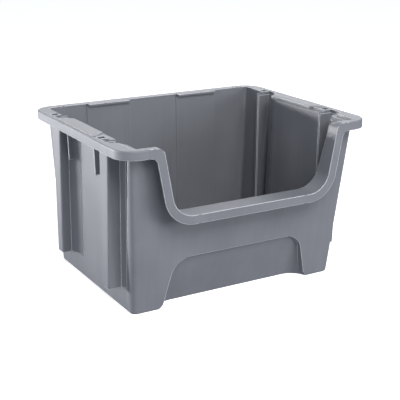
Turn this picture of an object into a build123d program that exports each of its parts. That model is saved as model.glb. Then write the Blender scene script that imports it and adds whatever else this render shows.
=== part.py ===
from build123d import *
import math
import os

# Open-front stacking container, one injection moulding in polypropylene.
# X runs to the right as seen from the front, -Y is the open front, Z is up.
# The origin is on the resting plane, under the middle of the rim.
# All sizes are in millimetres.

# Overall sizes
height = 317.5
rim_width = 513.0
rim_depth = 412.0
rim_corner_radius = 40.0
wall = 3.0

# Tub: width of the flange around its mouth, and how far each wall leans in towards its foot
rim_side_width = 24.5
rim_front_width = 21.0
rim_back_width = 18.5
side_lean = 16.0
front_lean = 38.0
back_lean = 2.5
base_corner_radius = 12.0
top_corner_radius = 9.0
base_edge_radius = 4.0
base_edge_steps = 4

# Rim: a flat flange with a turned-down lip and a rounded top edge
lip_height = 16.0
rim_edge_radius = 2.0

# Seat inside the rim, on which the container above rests, measured out from the inside of the walls
seat_depth = 4.0
seat_side = 0.5
seat_front = 9.0
seat_back = 3.5
seat_grip = 6.5
seat_corner_radius = 12.0

# Side walls stand nearly upright between the corner columns and the rear posts
grip_set_in = 12.5
grip_lean = 3.0
column_top_width = 9.5
column_base_width = 23.0

# Posts: hollow outriggers on the side walls, open towards the inside
post_set_in = 8.5
post_foot_height = 47.0
post_top_width = 37.0
post_foot_width = 24.0
post_corner_radius = 4.0
rear_ramp_rise = 12.0
rear_ramp_length = 34.0
front_ramp_rise = 6.0
front_ramp_length = 12.0
rear_post_from_back = 67.5
front_post_from_front = 90.5

# The posts open into the seat, with a slanted front edge
throat_near = 35.0
throat_far = 50.0

# Slots through the flange, each just behind a post
slot_end_wall = 2.5
slot_length = 15.0

# Grip plates, raised on the side flanges between the posts
plate_rise = 1.5
plate_set_in = 6.5
plate_rear_clearance = 13.0
plate_front_clearance = 22.5
plate_end_slant = 19.0
plate_edge_radius = 0.8

# Finger ribs under the flange, at both ends of the hand grip
rib_thickness = 3.0
rib_height = 74.0
rib_top_reach = 18.0
rib_foot_reach = 16.0
rear_rib_beyond_plate = 3.0
front_rib_within_plate = 9.0

# Mouth in the front wall
sill_height = 190.0
mouth_shoulder_width = 52.5
mouth_lean = 23.2
mouth_corner_radius = 42.0
mouth_shoulder_radius = 14.0

# Arched recess in the foot of the front wall, open at the bottom
arch_foot_width = 61.0
arch_lean = 21.0
arch_top = 96.0
arch_corner_radius = 40.0
arch_flare_height = 9.0
arch_flare_radius = 12.0
arch_base_depth = 31.0
arch_top_depth = 5.0
arch_blend_beyond = 9.0
arch_blend_radius = 38.0

# Two shallow panels set into the back wall, with a pad of the rim reaching in over each
panel_inner_half = 57.0
panel_side_width = 70.0
panel_depth = 1.5
panel_foot = 24.0
pad_reach = 8.0

# Where the one moulding is parted into its zones
floor_split_clearance = 4.0
side_split_width = 19.0
shoulder_split_width = 25.0
split_clearance = 3.0

# Worked-out heights
rim_top = height - plate_rise
flange_under = rim_top - wall
seat_height = rim_top - seat_depth
rib_foot_height = flange_under - rib_height
floor_split = base_edge_radius + floor_split_clearance

# Worked-out distances from the middle: tub
top_half_width = rim_width / 2 - rim_side_width
top_front = rim_depth / 2 - rim_front_width
top_back = rim_depth / 2 - rim_back_width
base_half_width = top_half_width - side_lean
base_front = top_front - front_lean
base_back = top_back - back_lean
grip_top_half = top_half_width - grip_set_in
grip_base_half = grip_top_half - grip_lean
column_top_y = column_top_width - top_front
column_base_y = column_base_width - base_front

# Worked-out distances from the middle: seat, posts, slots, plates and ribs
seat_half_width = top_half_width - wall + seat_side
seat_grip_half = grip_top_half - wall + seat_grip
seat_front_y = wall - top_front - seat_front
seat_back_y = top_back - wall + seat_back
post_outer_half = rim_width / 2 - post_set_in
rear_post_back = top_back - rear_post_from_back
front_post_back = front_post_from_front - top_front
slot_outer_half = post_outer_half - slot_end_wall
plate_outer_half = rim_width / 2 - plate_set_in
plate_back = rear_post_back - post_top_width - plate_rear_clearance
plate_front = front_post_back + slot_length + plate_front_clearance
rib_top_half = grip_top_half + rib_top_reach
rib_foot_half = grip_top_half + rib_foot_reach
rear_rib_y = plate_back + rear_rib_beyond_plate
front_rib_y = plate_front + front_rib_within_plate

# Worked-out distances from the middle: mouth, arch, panels and splits
mouth_top_half = top_half_width - mouth_shoulder_width
mouth_sill_half = mouth_top_half - mouth_lean
arch_foot_half = base_half_width - arch_foot_width
arch_shoulder_half = arch_foot_half - arch_lean
arch_blend_half = arch_foot_half + arch_blend_beyond
panel_outer_half = base_half_width - panel_side_width
side_split_half = base_half_width - side_split_width
shoulder_split_half = top_half_width - shoulder_split_width
rim_split_y = rim_depth / 2 - rim_corner_radius - split_clearance
mouth_split_half = mouth_sill_half - mouth_corner_radius - split_clearance
front_lip_y = -rim_depth / 2

# How far cutting forms run past the part
beyond = 50.0
reach = rim_width + rim_depth


def blend(low, high, z):
    """Straight change of a size from the resting plane to the rim."""
    return low + (high - low) * z / rim_top


def tub_section(z, inset):
    """Plan of the tub at height z, drawn in by inset."""
    half = blend(base_half_width, top_half_width, z) - inset
    front = blend(base_front, top_front, z) - inset
    back = blend(base_back, top_back, z) - inset
    radius = blend(base_corner_radius, top_corner_radius, z) - inset
    plan = RectangleRounded(2 * half, front + back, max(radius, wall / 2))
    return Pos(0, (back - front) / 2, z) * plan


def tub_form(inset, floor, top):
    """Tapered tub with a rounded bottom edge, drawn in by inset."""
    sections = []
    edge = base_edge_radius
    for step in range(base_edge_steps + 1):
        turn = math.radians(90 * step / base_edge_steps)
        z = floor + edge * (1 - math.cos(turn))
        sections.append(tub_section(z, inset + edge * (1 - math.sin(turn))))
    sections.append(tub_section(top, inset))
    return loft(sections, ruled=True)


def grip_wedge(side, allowance):
    """Space outside the upright part of a side wall, from the front column to the rear post."""
    low = grip_base_half - allowance
    top_z = rim_top + beyond
    high = low + (grip_top_half - grip_base_half) * top_z / rim_top
    across = Polyline((low, 0), (high, top_z), (reach, top_z), (reach, 0), close=True)
    front_low = column_base_y - allowance
    front_high = front_low + (column_top_y - column_base_y) * top_z / rim_top
    back = rear_post_back + allowance
    along = Polyline((front_low, 0), (front_high, top_z), (back, top_z), (back, 0), close=True)
    outside = Pos(0, reach, 0) * extrude(Plane.XZ * make_face(across), 2 * reach)
    wedge = outside & extrude(Plane.YZ * make_face(along), reach)
    return wedge if side > 0 else mirror(wedge, Plane.YZ)


def back_panel(side, allowance):
    """Shallow pocket in the outside of the back wall."""
    width = panel_outer_half - panel_inner_half + 2 * allowance
    middle = side * (panel_inner_half + panel_outer_half) / 2
    low = base_back - panel_depth - allowance
    top_z = rim_top + beyond
    high = low + (top_back - base_back) * top_z / rim_top
    foot = panel_foot - allowance
    foot_y = low + (top_back - base_back) * foot / rim_top
    outline = Polyline((foot_y, foot), (high, top_z), (reach, top_z), (reach, foot), close=True)
    face = Plane.YZ * make_face(outline)
    return Pos(middle - width / 2, 0, 0) * extrude(face, width)


def arch_outline(allowance):
    """Arched outline seen from the front, flared at its feet."""
    foot = arch_foot_half + allowance
    shoulder = arch_shoulder_half + allowance
    top = arch_top + allowance
    flare = foot + arch_flare_height + beyond
    points = [
        (-flare, -beyond),
        (-foot, arch_flare_height),
        (-shoulder, top),
        (shoulder, top),
        (foot, arch_flare_height),
        (flare, -beyond),
    ]
    radii = [arch_flare_radius, arch_corner_radius, arch_corner_radius, arch_flare_radius]
    arch = FilletPolyline(*points, radius=radii)
    return make_face([arch, Line(points[-1], points[0])])


def arch_recess(allowance):
    """Space of the recess under the arch: an arched outline in front of a leaning face."""
    prism = Pos(0, -allowance, 0) * extrude(Plane.XZ * arch_outline(allowance), reach)
    base_y = -base_front + arch_base_depth + allowance
    top_y = -blend(base_front, top_front, arch_top) + arch_top_depth + allowance
    lean = (top_y - base_y) / arch_top
    half = arch_blend_half + allowance
    radius = arch_blend_radius + allowance

    def section(z):
        back = base_y + lean * z
        points = [(-half, -reach), (-half, back), (half, back), (half, -reach)]
        sides_and_back = FilletPolyline(*points, radius=radius)
        plan = make_face([sides_and_back, Line(points[-1], points[0])])
        return Pos(0, 0, z) * plan

    ahead = loft([section(-beyond), section(arch_top + beyond)], ruled=True)
    return prism & ahead


def mouth_edge(offset):
    """Points of the mouth's edge, moved outwards by offset, with the corner radii."""
    lean = math.atan2(mouth_top_half - mouth_sill_half, rim_top - sill_height)
    sill = sill_height - offset
    shoulder = rim_top - offset

    def side_x(z):
        return mouth_sill_half + (z - sill_height) * math.tan(lean) + offset / math.cos(lean)

    points = [
        (-reach, shoulder),
        (-side_x(shoulder), shoulder),
        (-side_x(sill), sill),
        (side_x(sill), sill),
        (side_x(shoulder), shoulder),
        (reach, shoulder),
    ]
    corner = mouth_corner_radius + offset
    return points, [mouth_shoulder_radius, corner, corner, mouth_shoulder_radius]


def above_mouth_edge(offset, front, back):
    """Everything above the mouth's edge, between two planes across Y."""
    points, radii = mouth_edge(offset)
    edge = FilletPolyline(*points, radius=radii)
    top = rim_top + beyond
    roof = Polyline(points[-1], (reach, top), (-reach, top), points[0])
    face = Plane.XZ * make_face([edge, roof])
    return Pos(0, back, 0) * extrude(face, back - front)


def post_form(side, back, allowance):
    """Tapered post with rounded edges, an upright outer face and an upright rear side."""
    inner = grip_base_half / 2
    outer = post_outer_half - allowance
    foot_z = post_foot_height + allowance
    top_z = flange_under + allowance

    def section(z, width):
        ahead = back - width + allowance
        behind = back - allowance
        plan = RectangleRounded(outer - inner, behind - ahead, post_corner_radius - allowance)
        return Pos(side * (outer + inner) / 2, (ahead + behind) / 2, z) * plan

    return loft([section(foot_z, post_width(foot_z)), section(top_z, post_width(top_z))], ruled=True)


def post_width(z):
    """Width of a post along the side wall at height z."""
    share = (z - post_foot_height) / (flange_under - post_foot_height)
    return post_foot_width + (post_top_width - post_foot_width) * share


def ramp_form(side, place, allowance):
    """Ramp that runs from the front side of a post down to the side wall."""
    back = post_backs[place]
    rise, length = ramp_sizes[place]
    foot_z = post_foot_height + allowance
    top_z = flange_under + allowance

    def section(z):
        wall_half = blend(grip_base_half, grip_top_half, z) - allowance
        start = back - post_width(z) + allowance
        plan = Polyline(
            (side * grip_base_half / 2, start + allowance + wall),
            (side * (wall_half + rise), start + allowance + wall),
            (side * (wall_half + rise), start),
            (side * wall_half, start - length),
            (side * grip_base_half / 2, start - length),
            close=True,
        )
        return Pos(0, 0, z) * make_face(plan)

    return loft([section(foot_z), section(top_z)], ruled=True)


def zone(x_low, x_high, y_low, y_high, z_low, z_high):
    """Box that picks one zone out of the moulding."""
    size = (x_high - x_low, y_high - y_low, z_high - z_low)
    middle = ((x_high + x_low) / 2, (y_high + y_low) / 2, (z_high + z_low) / 2)
    return Pos(*middle) * Box(*size)


def flange_slot(side, back):
    """Slot through the flange just behind a post."""
    low = side * (seat_half_width + wall)
    high = side * slot_outer_half
    return zone(min(low, high), max(low, high), back, back + slot_length, flange_under, height)


def seat_plan(allowance):
    """Plan of the seat inside the rim, drawn out by allowance."""
    half = seat_half_width + allowance
    depth = seat_back_y - seat_front_y + 2 * allowance
    middle = (seat_back_y + seat_front_y) / 2
    plan = Pos(0, middle) * RectangleRounded(2 * half, depth, seat_corner_radius + allowance)
    for side in sides.values():
        inner = side * (seat_grip_half + allowance)
        outer = side * (half + wall)
        front = plate_front + allowance
        back = plate_back - allowance
        bulge = Polyline(
            (inner, front),
            (inner, back),
            (outer, back + half - seat_grip_half),
            (outer, front - half + seat_grip_half),
            close=True,
        )
        plan -= make_face(bulge)
        for post_back in post_backs.values():
            root = side * base_half_width
            tip = side * (post_outer_half - wall + allowance)
            throat = Polyline(
                (root, post_back - wall + allowance),
                (tip, post_back - wall + allowance),
                (tip, post_back - throat_near - allowance),
                (root, post_back - throat_far - allowance),
                close=True,
            )
            plan += make_face(throat)
    return plan


def seat_form(allowance):
    """Space of the seat inside the rim, drawn out by allowance."""
    foot = seat_height - allowance
    return Pos(0, 0, foot) * extrude(seat_plan(allowance), rim_top + beyond - foot)


def rim_pad(side):
    """Pad of the flange that reaches in over a panel of the back wall."""
    inner = side * panel_inner_half
    outer = side * panel_outer_half
    edge = seat_back_y - seat_back - pad_reach
    return zone(min(inner, outer), max(inner, outer), edge, seat_back_y, seat_height, rim_top)


def front_form(inset, half):
    """Space behind the leaning front of the tub, drawn in by inset, with the seat at its top."""
    top_z = rim_top + beyond
    seat_foot = seat_height - wall + inset
    seat_front = seat_front_y - wall + inset
    low = inset - blend(base_front, top_front, floor_split)
    high = inset - blend(base_front, top_front, seat_foot)
    profile = Polyline(
        (beyond + inset, floor_split),
        (low, floor_split),
        (high, seat_foot),
        (seat_front, seat_foot),
        (seat_front, top_z),
        (beyond + inset, top_z),
        close=True,
    )
    return extrude(Plane.YZ * make_face(profile), half, both=True)


post_backs = {"front": front_post_back, "rear": rear_post_back}
ramp_sizes = {"front": (front_ramp_rise, front_ramp_length), "rear": (rear_ramp_rise, rear_ramp_length)}
sides = {"left": -1, "right": 1}

# The tub as an outer form and the space inside it
outer_form = tub_form(0, 0, rim_top + beyond)
inner_space = tub_form(wall, wall, rim_top + beyond)
for side in sides.values():
    outer_form -= grip_wedge(side, 0)
    inner_space -= grip_wedge(side, wall)
    outer_form -= back_panel(side, 0)
    inner_space -= back_panel(side, wall)
outer_form -= arch_recess(0)
inner_space -= arch_recess(wall)
outer_form += seat_form(wall)
inner_space += seat_form(0)

# Walls and floor, open to the posts
shell = outer_form - inner_space
for side in sides.values():
    for place, back in post_backs.items():
        shell -= post_form(side, back, wall)
        shell -= ramp_form(side, place, wall)

nodes = {}
nodes["floor"] = shell & zone(-reach, reach, -reach, reach, 0, floor_split)
nodes["back_wall"] = shell & zone(-side_split_half, side_split_half, 0, reach, floor_split, flange_under)
front_outer = front_form(0, side_split_half) - arch_recess(0)
front_inner = front_form(wall, shoulder_split_half) - arch_recess(wall)
nodes["front_wall"] = front_outer - front_inner - above_mouth_edge(wall, -reach, reach)
nodes["left_side_wall"] = shell & zone(-reach, -side_split_half, -reach, reach, floor_split, flange_under)
nodes["right_side_wall"] = shell & zone(side_split_half, reach, -reach, reach, floor_split, flange_under)

# Posts, outside the side walls
for side_name, side in sides.items():
    for place, back in post_backs.items():
        post = post_form(side, back, 0) + ramp_form(side, place, 0)
        post = post - outer_form - inner_space
        post = post - post_form(side, back, wall) - ramp_form(side, place, wall)
        nodes[f"{side_name}_{place}_post"] = post

# Finger ribs under the flange
for side_name, side in sides.items():
    for place, rib_y in {"front": front_rib_y, "rear": rear_rib_y}.items():
        profile = Polyline(
            (side * grip_base_half, rib_foot_height),
            (side * rib_foot_half, rib_foot_height),
            (side * rib_top_half, flange_under),
            (side * grip_base_half, flange_under),
            close=True,
        )
        rib = extrude(Plane.XZ * make_face(profile), rib_thickness / 2, both=True)
        rib = Pos(0, rib_y, 0) * rib - outer_form
        nodes[f"{side_name}_{place}_grip_rib"] = rib - ramp_form(side, place, 0)

# Rim flange with its lip, cut out over the tub and over the posts
lip_foot = rim_top - lip_height
rim_plan = RectangleRounded(rim_width, rim_depth, rim_corner_radius)
rim_outer = Pos(0, 0, lip_foot) * extrude(rim_plan, lip_height)
rim_outer = fillet(rim_outer.faces().sort_by(Axis.Z)[-1].edges(), rim_edge_radius)
hollow_plan = RectangleRounded(rim_width - 2 * wall, rim_depth - 2 * wall, rim_corner_radius - wall)
rim_hollow = Pos(0, 0, lip_foot) * extrude(hollow_plan, lip_height - wall)
rim = rim_outer - rim_hollow - inner_space
for side in sides.values():
    rim += rim_pad(side)
    for back in post_backs.values():
        rim -= flange_slot(side, back)
rim -= zone(-shoulder_split_half, shoulder_split_half, -reach, 0, 0, height)

nodes["back_rim"] = rim & zone(-reach, reach, rim_split_y, reach, 0, height)
nodes["left_rim"] = rim & zone(-reach, 0, -rim_split_y, rim_split_y, 0, height)
nodes["right_rim"] = rim & zone(0, reach, -rim_split_y, rim_split_y, 0, height)
nodes["front_left_rim_corner"] = rim & zone(-reach, 0, -reach, -rim_split_y, 0, height)
nodes["front_right_rim_corner"] = rim & zone(0, reach, -reach, -rim_split_y, 0, height)

# Mouth lip: a flange that caps the cut front wall, with an upright face along its front
face_back = front_lip_y + wall
lip_area = zone(-shoulder_split_half, shoulder_split_half, front_lip_y, 0, 0, rim_top)
not_face = above_mouth_edge(0, -reach, reach)
cap = above_mouth_edge(wall, front_lip_y, 0) - not_face
face = above_mouth_edge(lip_height, front_lip_y, face_back) - not_face
mouth_lip = (cap + face) & lip_area
mouth_lip -= front_form(wall, reach)
nodes["sill_lip"] = mouth_lip & zone(-mouth_split_half, mouth_split_half, -reach, 0, 0, height)
nodes["left_mouth_lip"] = mouth_lip & zone(-reach, -mouth_split_half, -reach, 0, 0, height)
nodes["right_mouth_lip"] = mouth_lip & zone(mouth_split_half, reach, -reach, 0, 0, height)

# Grip plates, raised on the side flanges
for side_name, side in sides.items():
    inner = side * seat_grip_half
    outer = side * plate_outer_half
    tip = side * (slot_outer_half - wall)
    plan = Polyline(
        (inner, plate_front),
        (inner, plate_back),
        (tip, plate_back + plate_end_slant),
        (outer, plate_back + plate_end_slant),
        (outer, plate_front - plate_end_slant),
        (tip, plate_front - plate_end_slant),
        close=True,
    )
    plate = Pos(0, 0, rim_top) * extrude(make_face(plan), plate_rise)
    upper_edges = plate.faces().sort_by(Axis.Z)[-1].edges()
    nodes[f"{side_name}_grip_plate"] = fillet(upper_edges, plate_edge_radius)

os.makedirs("parts", exist_ok=True)
for name, solid in nodes.items():
    export_step(solid, f"parts/{name}.step")
    print(f"{name}: {len(solid.solids())} solid(s), {solid.volume / 1000:.1f} cm3")
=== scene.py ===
import math

import bpy
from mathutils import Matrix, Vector


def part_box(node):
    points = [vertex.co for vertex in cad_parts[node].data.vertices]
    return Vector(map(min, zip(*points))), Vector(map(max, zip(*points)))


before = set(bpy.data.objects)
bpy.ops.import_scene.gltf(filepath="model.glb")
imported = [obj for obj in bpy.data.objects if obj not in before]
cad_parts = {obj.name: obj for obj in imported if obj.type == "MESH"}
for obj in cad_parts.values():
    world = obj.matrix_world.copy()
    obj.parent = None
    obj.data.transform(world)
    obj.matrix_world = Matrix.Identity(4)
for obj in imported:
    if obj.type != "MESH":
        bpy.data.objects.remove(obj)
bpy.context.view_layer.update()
scene = bpy.context.scene
print("stage: frame loaded,", len(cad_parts), "nodes")


# colours and nodes
def toLinear(hexColour):
    # sRGB hex to the linear colour that the shader wants
    parts = [int(hexColour[i:i + 2], 16) / 255 for i in (1, 3, 5)]
    linear = [p / 12.92 if p <= 0.04045 else ((p + 0.055) / 1.055) ** 2.4 for p in parts]
    return (*linear, 1.0)


def newMaterial(name):
    # a material with an empty node tree
    material = bpy.data.materials.new(name)
    material.use_nodes = True
    material.node_tree.nodes.clear()
    return material, material.node_tree


def addNode(tree, kind, settings=None, links=None):
    # adds one node: settings are attributes or input values, links are sockets or (node, socket name)
    node = tree.nodes.new(kind)
    for key, value in (settings or {}).items():
        if isinstance(key, int) or key in node.inputs:
            node.inputs[key].default_value = value
        else:
            setattr(node, key, value)
    for key, source in (links or {}).items():
        origin, name = source if isinstance(source, tuple) else (source, 0)
        tree.links.new(origin.outputs[name], node.inputs[key])
    return node


# planes where two zones of the one moulding meet, the same on both sides of the middle, in metres
_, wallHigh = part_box("back_wall")
_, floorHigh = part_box("floor")
_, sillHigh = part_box("sill_lip")
cornerLow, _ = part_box("front_right_rim_corner")
rimLow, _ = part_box("back_rim")
seamPlanes = {
    "X": (wallHigh[0], cornerLow[0], sillHigh[0]),
    "Y": (rimLow[1],),
    "Z": (floorHigh[2], wallHigh[2]),
}

# Moulded polypropylene: semi-crystalline, so it looks a little waxy and never mirror-like
polypropylene = {
    "colour": "#75777b",              # mid grey, a trace of blue
    "deepColour": "#696b70",          # the darker end of the clouding
    "colourRange": (0.35, 0.85),      # levels of the mixed noise that give the darker and the paler end
    "cloudMm": 90.0,                  # broad clouding, about a hand wide
    "cloudShare": 0.75,
    "streakMm": 14.0,                 # width of the flow streaks, which run up the walls
    "streakStretch": 20.0,            # times longer than wide
    "streakShare": 0.45,
    "roughness": 0.42,
    "roughnessSpread": 0.10,
    "ior": 1.49,                      # polypropylene
    "grainMm": 0.9,                   # spark-eroded grain is about 0.1 mm, drawn coarser so that it shows
    "grainDepthMm": 0.06,
    "grainStrength": 0.5,
    "waveMm": 60.0,                   # sink and warp of the thin walls
    "waveDepthMm": 0.25,
    "waveStrength": 0.35,
    "edgeMm": 2.0,                    # moulded edges are rounded by about this radius
    "edgeSamples": 8,
    "paintedHighlightColour": "#dcdee2",        # painted highlight: edges made pale, as where light catches their rounding
    # how much of the painted edge highlight is mixed into the colour
    "paintedHighlightShare": 0.9,
    "paintedHighlightBend": (0.99, 0.88),       # cosines of the bend where the painted edge highlight starts and where it is full
    "seamReachMm": 2.4,               # how far a seam's plane hides the rounding and the painted edge highlight
    "scuffMm": 22.0,                  # length of the handling scuffs
    "scuffStretch": 12.0,             # times longer than wide
    "scuffTurn": (0.3, 0.2, 0.9),     # radians about each axis, so that they run askew
    "scuffRange": (0.62, 0.72),
    "scuffAreaMm": 120.0,             # patches that have scuffs
    "scuffAreaRange": (0.52, 0.66),
    "scuffRoughness": 0.12,
}


def makeSeamMask(tree, place, reachMm):
    # 1 along the planes where zones meet, 0 elsewhere
    position = addNode(tree, "ShaderNodeSeparateXYZ", None, {0: (place, "Object")})
    mask = None
    for axis, distances in seamPlanes.items():
        away = addNode(tree, "ShaderNodeMath", {"operation": "ABSOLUTE"}, {0: (position, axis)})
        for distance in distances:
            near = addNode(tree, "ShaderNodeMath",
                           {"operation": "COMPARE", 1: float(distance), 2: reachMm / 1000}, {0: away})
            mask = near if mask is None else addNode(tree, "ShaderNodeMath", {"operation": "MAXIMUM"},
                                                     {0: mask, 1: near})
    return mask


def makeScuffs(tree, place, look):
    # short thin scratches, only where a second noise lets them through
    scuffPlace = addNode(tree, "ShaderNodeMapping",
                         {"Rotation": look["scuffTurn"], "Scale": (1.0, look["scuffStretch"], 1.0)},
                         {"Vector": (place, "Object")})
    line = addNode(tree, "ShaderNodeTexNoise",
                   {"Scale": 1000 / look["scuffMm"], "Detail": 6.0, "Roughness": 0.7},
                   {"Vector": scuffPlace})
    lineLow, lineHigh = look["scuffRange"]
    lineMask = addNode(tree, "ShaderNodeMapRange", {"From Min": lineLow, "From Max": lineHigh},
                       {"Value": (line, "Fac")})
    area = addNode(tree, "ShaderNodeTexNoise", {"Scale": 1000 / look["scuffAreaMm"], "Detail": 2.0},
                   {"Vector": (place, "Object")})
    areaLow, areaHigh = look["scuffAreaRange"]
    areaMask = addNode(tree, "ShaderNodeMapRange", {"From Min": areaLow, "From Max": areaHigh},
                       {"Value": (area, "Fac")})
    return addNode(tree, "ShaderNodeMath", {"operation": "MULTIPLY"}, {0: lineMask, 1: areaMask})


def makePolypropylene(name, look):
    material, tree = newMaterial(name)
    place = addNode(tree, "ShaderNodeTexCoord")

    # colour: broad clouds, and streaks of noise stretched up the wall
    cloud = addNode(tree, "ShaderNodeTexNoise",
                    {"Scale": 1000 / look["cloudMm"], "Detail": 3.0, "Roughness": 0.5},
                    {"Vector": (place, "Object")})
    stretch = addNode(tree, "ShaderNodeMapping", {"Scale": (1.0, 1.0, 1 / look["streakStretch"])},
                      {"Vector": (place, "Object")})
    streak = addNode(tree, "ShaderNodeTexNoise",
                     {"Scale": 1000 / look["streakMm"], "Detail": 4.0, "Roughness": 0.6},
                     {"Vector": stretch})
    streakPart = addNode(tree, "ShaderNodeMath", {"operation": "MULTIPLY", 1: look["streakShare"]},
                         {0: (streak, "Fac")})
    mixed = addNode(tree, "ShaderNodeMath", {"operation": "MULTIPLY_ADD", 1: look["cloudShare"]},
                    {0: (cloud, "Fac"), 2: streakPart})
    colour = addNode(tree, "ShaderNodeValToRGB", None, {"Fac": mixed})
    ends = zip(colour.color_ramp.elements, look["colourRange"], (look["deepColour"], look["colour"]))
    for element, level, endColour in ends:
        element.position = level
        element.color = toLinear(endColour)

    # painted edge highlight: paler where the rounded normal leaves the flat one, except at the seams
    rounded = addNode(tree, "ShaderNodeBevel",
                      {"samples": look["edgeSamples"], "Radius": look["edgeMm"] / 1000})
    flat = addNode(tree, "ShaderNodeNewGeometry")
    seam = makeSeamMask(tree, place, look["seamReachMm"])
    edge = addNode(tree, "ShaderNodeMix", {"data_type": "VECTOR"},
                   {0: seam, 4: (rounded, "Normal"), 5: (flat, "Normal")})
    bend = addNode(tree, "ShaderNodeVectorMath", {"operation": "DOT_PRODUCT"},
                   {0: (edge, 1), 1: (flat, "Normal")})
    bendStart, bendFull = look["paintedHighlightBend"]
    paintedHighlightMask = addNode(tree, "ShaderNodeMapRange",
                     {"From Min": bendStart, "From Max": bendFull, "To Max": look["paintedHighlightShare"]},
                     {"Value": (bend, "Value")})
    colourWithPaintedHighlight = addNode(tree, "ShaderNodeMix", {"data_type": "RGBA", 7: toLinear(look["paintedHighlightColour"])},
                         {0: paintedHighlightMask, 6: (colour, "Color")})

    # roughness: a slow patchwork plus the scuffs
    gloss = addNode(tree, "ShaderNodeMapRange",
                    {"To Min": look["roughness"] - look["roughnessSpread"] / 2,
                     "To Max": look["roughness"] + look["roughnessSpread"] / 2},
                    {"Value": (cloud, "Fac")})
    roughness = addNode(tree, "ShaderNodeMath", {"operation": "MULTIPLY_ADD", 1: look["scuffRoughness"]},
                        {0: makeScuffs(tree, place, look), 2: gloss})

    # relief: the slow wave of thin walls and the fine grain, over the rounded edges
    wave = addNode(tree, "ShaderNodeTexNoise", {"Scale": 1000 / look["waveMm"], "Detail": 1.0},
                   {"Vector": (place, "Object")})
    waveBump = addNode(tree, "ShaderNodeBump",
                       {"Strength": look["waveStrength"], "Distance": look["waveDepthMm"] / 1000},
                       {"Height": (wave, "Fac"), "Normal": (edge, 1)})
    grain = addNode(tree, "ShaderNodeTexNoise",
                    {"Scale": 1000 / look["grainMm"], "Detail": 2.0, "Roughness": 0.6},
                    {"Vector": (place, "Object")})
    grainBump = addNode(tree, "ShaderNodeBump",
                        {"Strength": look["grainStrength"], "Distance": look["grainDepthMm"] / 1000},
                        {"Height": (grain, "Fac"), "Normal": (waveBump, "Normal")})

    # the base colour carries the painted edge highlight
    shader = addNode(tree, "ShaderNodeBsdfPrincipled", {"IOR": look["ior"], "Metallic": 0.0},
                     {"Base Color": (colourWithPaintedHighlight, 2), "Roughness": roughness, "Normal": (grainBump, "Normal")})
    addNode(tree, "ShaderNodeOutputMaterial", None, {"Surface": (shader, "BSDF")})
    return material


# the back wall's panel edges look faint, so its painted edge highlight is much weaker
backWallPolypropylene = dict(polypropylene, paintedHighlightShare=0.12)

# both materials paint a pale highlight along the edges; on the back wall it is faint
paintedHighlightMaterial = makePolypropylene("moulded_polypropylene_painted_edge_highlights", polypropylene)
faintHighlightMaterial = makePolypropylene("moulded_polypropylene_faint_painted_edge_highlights", backWallPolypropylene)
for name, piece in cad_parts.items():
    piece.data.materials.clear()
    piece.data.materials.append(faintHighlightMaterial if name == "back_wall" else paintedHighlightMaterial)
print("stage: materials done")


# Studio floor: pale and matt, so the ground and the surround stay white
floorLook = {
    "colour": "#f8f8f8",
    "glow": 0.65,
    "specular": 0.1,
    "roughness": (0.85, 0.95),
    "patchesPerM": 3.0,           # slow change of the roughness
    "radiusM": 12.0,
    "wallM": 9.0,                 # the floor runs up all round, so no side view shows its end
    "segments": 64,
}


def makeFloorMaterial(look):
    material, tree = newMaterial("painted_studio_floor")
    place = addNode(tree, "ShaderNodeTexCoord")
    patches = addNode(tree, "ShaderNodeTexNoise", {"Scale": look["patchesPerM"], "Detail": 3.0},
                      {"Vector": (place, "Object")})
    smoothest, roughest = look["roughness"]
    roughness = addNode(tree, "ShaderNodeMapRange", {"To Min": smoothest, "To Max": roughest},
                        {"Value": (patches, "Fac")})
    shader = addNode(tree, "ShaderNodeBsdfPrincipled",
                     {"Base Color": toLinear(look["colour"]), "Specular IOR Level": look["specular"],
                      "Emission Color": toLinear(look["colour"]), "Emission Strength": look["glow"]},
                     {"Roughness": roughness})
    addNode(tree, "ShaderNodeOutputMaterial", None, {"Surface": (shader, "BSDF")})
    return material


def makeFloor(look):
    # a disc with an upright ring around it
    mesh = bpy.data.meshes.new("studio_floor")
    count = look["segments"]
    turns = [2 * math.pi * i / count for i in range(count)]
    low = [(look["radiusM"] * math.cos(t), look["radiusM"] * math.sin(t), 0) for t in turns]
    high = [(x, y, look["wallM"]) for x, y, _ in low]
    sides = [((i + 1) % count, i, count + i, count + (i + 1) % count) for i in range(count)]
    mesh.from_pydata(low + high, [], [tuple(range(count))] + sides)
    mesh.materials.append(makeFloorMaterial(look))
    piece = bpy.data.objects.new("studio_floor", mesh)
    scene.collection.objects.link(piece)
    # the floor throws no light back up at the walls, and blocks none
    piece.visible_diffuse = False
    piece.visible_glossy = False
    piece.visible_shadow = False


makeFloor(floorLook)
print("stage: floor done")


# light: sizes and places in metres
skyLook = {"colour": "#e8eeff", "strength": 0.45}

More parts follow.
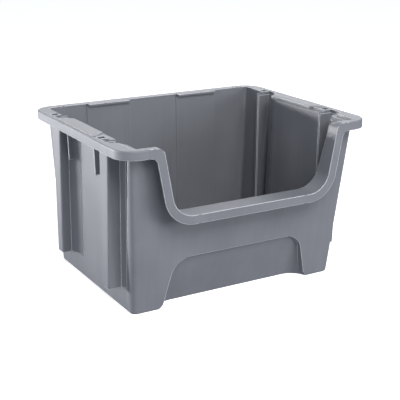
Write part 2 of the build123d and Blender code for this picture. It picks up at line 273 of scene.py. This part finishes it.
lamps = {
    # rakes the left wall from behind, with a spread so narrow that it fades towards the foot
    "keySoftbox": {"place": (-2.3, 2.1, 0.34), "aim": (-0.2, 0.0, 0.25), "width": 1.6, "height": 0.3,
                   "watts": 5.0, "spreadDeg": 18.0, "inGloss": True},
    "rimSoftbox": {"place": (1.6, 2.8, 1.25), "aim": (0, 0, 0.3), "width": 2.4, "height": 0.8,
                   "watts": 22.0, "spreadDeg": 180.0, "inGloss": True},
    "highSoftbox": {"place": (-0.2, -1.9, 2.0), "aim": (0, 0, 0.15), "width": 1.6, "height": 1.2,
                    "watts": 56.0, "spreadDeg": 180.0, "inGloss": True},
    # out of the gloss, because from behind its mirror image would wash out the top of the rim
    "frontSoftbox": {"place": (1.5, -2.6, 0.7), "aim": (0, 0, 0.15), "width": 1.2, "height": 1.0,
                     "watts": 46.0, "spreadDeg": 180.0, "inGloss": False},
    "edgeStrip": {"place": (-2.3, -1.4, 0.6), "aim": (0, 0, 0.2), "width": 0.25, "height": 1.1,
                  "watts": 11.0, "spreadDeg": 180.0, "inGloss": True},
}


def makeSky(look):
    world = bpy.data.worlds.new("studio_world")
    world.use_nodes = True
    background = world.node_tree.nodes["Background"]
    background.inputs["Color"].default_value = toLinear(look["colour"])
    background.inputs["Strength"].default_value = look["strength"]
    scene.world = world


def makeLamp(name, look):
    light = bpy.data.lights.new(name, "AREA")
    light.shape = "RECTANGLE"
    light.size = look["width"]
    light.size_y = look["height"]
    light.energy = look["watts"]
    light.spread = math.radians(look["spreadDeg"])
    lamp = bpy.data.objects.new(name, light)
    scene.collection.objects.link(lamp)
    lamp.location = look["place"]
    towards = Vector(look["aim"]) - Vector(look["place"])
    lamp.rotation_euler = towards.to_track_quat("-Z", "Y").to_euler()
    lamp.visible_glossy = look["inGloss"]


makeSky(skyLook)
for name, look in lamps.items():
    makeLamp(name, look)
scene.view_settings.view_transform = "Standard"
print("stage: light done")


# camera, fitted to the photograph
view = {
    "azimuthDeg": -29.94,
    "elevationDeg": 17.57,
    "target": (-0.02039, -0.04723, 0.158),
    "distanceM": 1.78405,
    "focalPixels": 932.89,
    "imagePixels": 400,
    "sensorMm": 36.0,
}


def makeCamera(look):
    azimuth = math.radians(look["azimuthDeg"])
    elevation = math.radians(look["elevationDeg"])
    level = math.cos(elevation)
    back = Vector((math.sin(azimuth) * level, -math.cos(azimuth) * level, math.sin(elevation)))
    camera = bpy.data.objects.new("camera", bpy.data.cameras.new("camera"))
    scene.collection.objects.link(camera)
    camera.location = Vector(look["target"]) + back * look["distanceM"]
    camera.rotation_euler = (-back).to_track_quat("-Z", "Y").to_euler()
    camera.data.sensor_fit = "HORIZONTAL"
    camera.data.sensor_width = look["sensorMm"]
    camera.data.lens = look["focalPixels"] / look["imagePixels"] * look["sensorMm"]
    scene.camera = camera


makeCamera(view)
print("stage: camera done")
